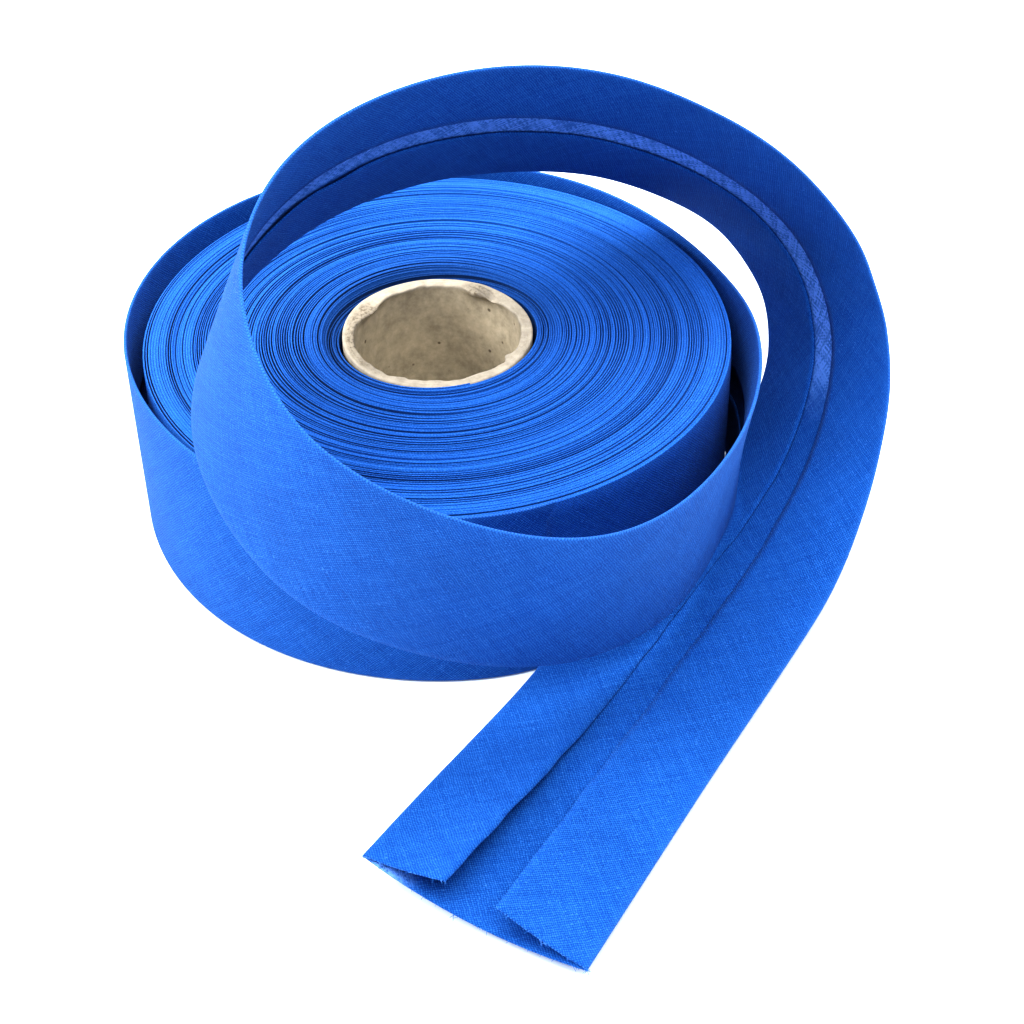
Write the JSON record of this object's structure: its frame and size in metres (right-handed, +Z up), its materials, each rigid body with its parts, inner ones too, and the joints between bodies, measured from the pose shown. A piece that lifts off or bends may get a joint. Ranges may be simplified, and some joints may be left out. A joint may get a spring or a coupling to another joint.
{
  "type": "roll of bias binding",
  "caption": "Roll of folded cotton bias binding on a cardboard core, its loose end looped over the roll and lying out on the table.",
  "frame": {"origin": "on the table, at the bottom centre of the whole piece's box", "axes": "+Z up along the roll's axis; the tail runs out towards -Y; the loop comes down at +X"},
  "size_m": [0.1542, 0.1948, 0.1009],
  "materials": {
    "cotton_tape": "matte",
    "wound_tape": "matte",
    "cardboard": "matte"
  },
  "bodies": {
    "root": {"core": "cardboard", "roll": "wound_tape", "loose_end": "cotton_tape"}
  },
  "joints": []
}
